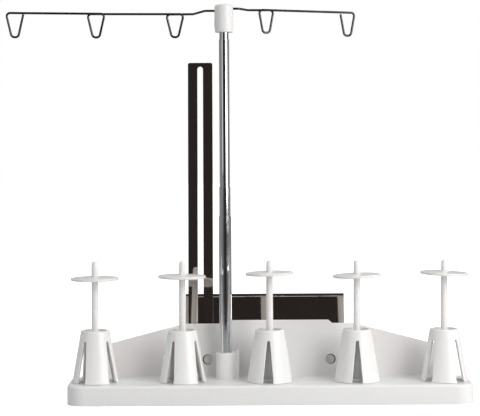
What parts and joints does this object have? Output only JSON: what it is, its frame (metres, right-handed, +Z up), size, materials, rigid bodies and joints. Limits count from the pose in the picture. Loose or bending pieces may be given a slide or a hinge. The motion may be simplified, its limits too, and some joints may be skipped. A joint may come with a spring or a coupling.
{
  "type": "spool holder stand",
  "caption": "Thread spool stand: tray with spool pins, slotted cones and disc caps, a telescopic mast with a looped wire thread guide, and a slotted steel bracket.",
  "frame": {"origin": "middle of the tray's foot rim, on the surface that the stand rests on", "axes": "+Z up, +X along the tray to the right, +Y towards the leaning back wall; the front faces -Y"},
  "size_m": [0.406, 0.0974, 0.3456],
  "materials": {
    "white_plastic": "white moulded plastic, fine satin texture",
    "pin_plastic": "white moulded plastic, semi-gloss",
    "cone_plastic": "white moulded plastic, semi-gloss",
    "cap_plastic": "thin white moulded plastic",
    "head_plastic": "white moulded plastic, satin",
    "chrome_tube": "bright chrome plate on thin steel tube",
    "chrome_wire": "bright chrome plate on spring wire",
    "polished_steel": "mirror-polished nickel plate",
    "steel_hardware": "nickel plated",
    "bronze": "phosphor bronze strip"
  },
  "bodies": {
    "stand": {"tray": "white_plastic", "spool_pin_1": "pin_plastic", "spool_pin_2": "pin_plastic", "spool_pin_3": "pin_plastic", "spool_pin_4": "pin_plastic", "spool_pin_5": "pin_plastic", "pin_screws": "steel_hardware", "mast_outer_tube": "chrome_tube", "mast_plug": "pin_plastic", "mast_screw": "steel_hardware", "bracket_plate": "polished_steel", "bracket_rivets": "steel_hardware"},
    "mast_second": {"mast_second_tube": "chrome_tube", "mast_outer_inner_sleeve": "bronze"},
    "mast_third": {"mast_third_tube": "chrome_tube", "mast_second_inner_sleeve": "bronze"},
    "mast_top": {"mast_top_tube": "chrome_tube", "mast_third_inner_sleeve": "bronze"},
    "thread_guide": {"guide_head": "head_plastic", "guide_wire_left": "chrome_wire", "guide_wire_right": "chrome_wire"},
    "bar_clamp": {"clamp_stud": "steel_hardware", "clamp_washer": "steel_hardware", "clamp_wing_nut": "steel_hardware"},
    "bar": {"slotted_bar": "polished_steel"},
    "cone_1": {"spool_cone_1": "cone_plastic"},
    "cap_1": {"spool_cap_1": "cap_plastic"},
    "cone_2": {"spool_cone_2": "cone_plastic"},
    "cap_2": {"spool_cap_2": "cap_plastic"},
    "cone_3": {"spool_cone_3": "cone_plastic"},
    "cap_3": {"spool_cap_3": "cap_plastic"},
    "cone_4": {"spool_cone_4": "cone_plastic"},
    "cap_4": {"spool_cap_4": "cap_plastic"},
    "cone_5": {"spool_cone_5": "cone_plastic"},
    "cap_5": {"spool_cap_5": "cap_plastic"}
  },
  "joints": [
    {"name": "mast_second_slide", "type": "slide", "parent": "stand", "child": "mast_second", "axis": [0, 0, 1], "range_m": [-0.022, 0.095]},
    {"name": "mast_third_slide", "type": "slide", "parent": "mast_second", "child": "mast_third", "axis": [0, 0, 1], "range_m": [-0.126, 0.007]},
    {"name": "mast_top_slide", "type": "slide", "parent": "mast_third", "child": "mast_top", "axis": [0, 0, 1], "range_m": [-0.005, 0.115]},
    {"name": "guide_turn", "type": "hinge", "parent": "mast_top", "child": "thread_guide", "pos_m": [-0.0384, 0.015, 0.33], "axis": [0, 0, 1], "range_deg": [-180, 180]},
    {"name": "bar_swing", "type": "hinge", "parent": "stand", "child": "bar_clamp", "pos_m": [-0.0607, 0.03264, 0.05618], "axis": [0, -0.9903, 0.1392], "range_deg": [-90, 90]},
    {"name": "bar_slide", "type": "slide", "parent": "bar_clamp", "child": "bar", "axis": [0, 0.1392, 0.9903], "range_m": [-0.003, 0.009]},
    {"name": "cone_1_turn", "type": "hinge", "parent": "stand", "child": "cone_1", "pos_m": [-0.1516, -0.002, 0.0535], "axis": [0, 0, 1], "continuous": true},
    {"name": "cap_1_slide", "type": "slide", "parent": "stand", "child": "cap_1", "axis": [0, 0, 1], "range_m": [-0.04276, 0.0173]},
    {"name": "cone_2_turn", "type": "hinge", "parent": "stand", "child": "cone_2", "pos_m": [-0.0758, -0.002, 0.0535], "axis": [0, 0, 1], "continuous": true},
    {"name": "cap_2_slide", "type": "slide", "parent": "stand", "child": "cap_2", "axis": [0, 0, 1], "range_m": [-0.04422, 0.0158]},
    {"name": "cone_3_turn", "type": "hinge", "parent": "stand", "child": "cone_3", "pos_m": [0, -0.002, 0.0535], "axis": [0, 0, 1], "continuous": true},
    {"name": "cap_3_slide", "type": "slide", "parent": "stand", "child": "cap_3", "axis": [0, 0, 1], "range_m": [-0.04633, 0.0134]},
    {"name": "cone_4_turn", "type": "hinge", "parent": "stand", "child": "cone_4", "pos_m": [0.0758, -0.002, 0.0535], "axis": [0, 0, 1], "continuous": true},
    {"name": "cap_4_slide", "type": "slide", "parent": "stand", "child": "cap_4", "axis": [0, 0, 1], "range_m": [-0.04388, 0.0156]},
    {"name": "cone_5_turn", "type": "hinge", "parent": "stand", "child": "cone_5", "pos_m": [0.1516, -0.002, 0.0535], "axis": [0, 0, 1], "continuous": true},
    {"name": "cap_5_slide", "type": "slide", "parent": "stand", "child": "cap_5", "axis": [0, 0, 1], "range_m": [-0.0454, 0.0139]}
  ]
}
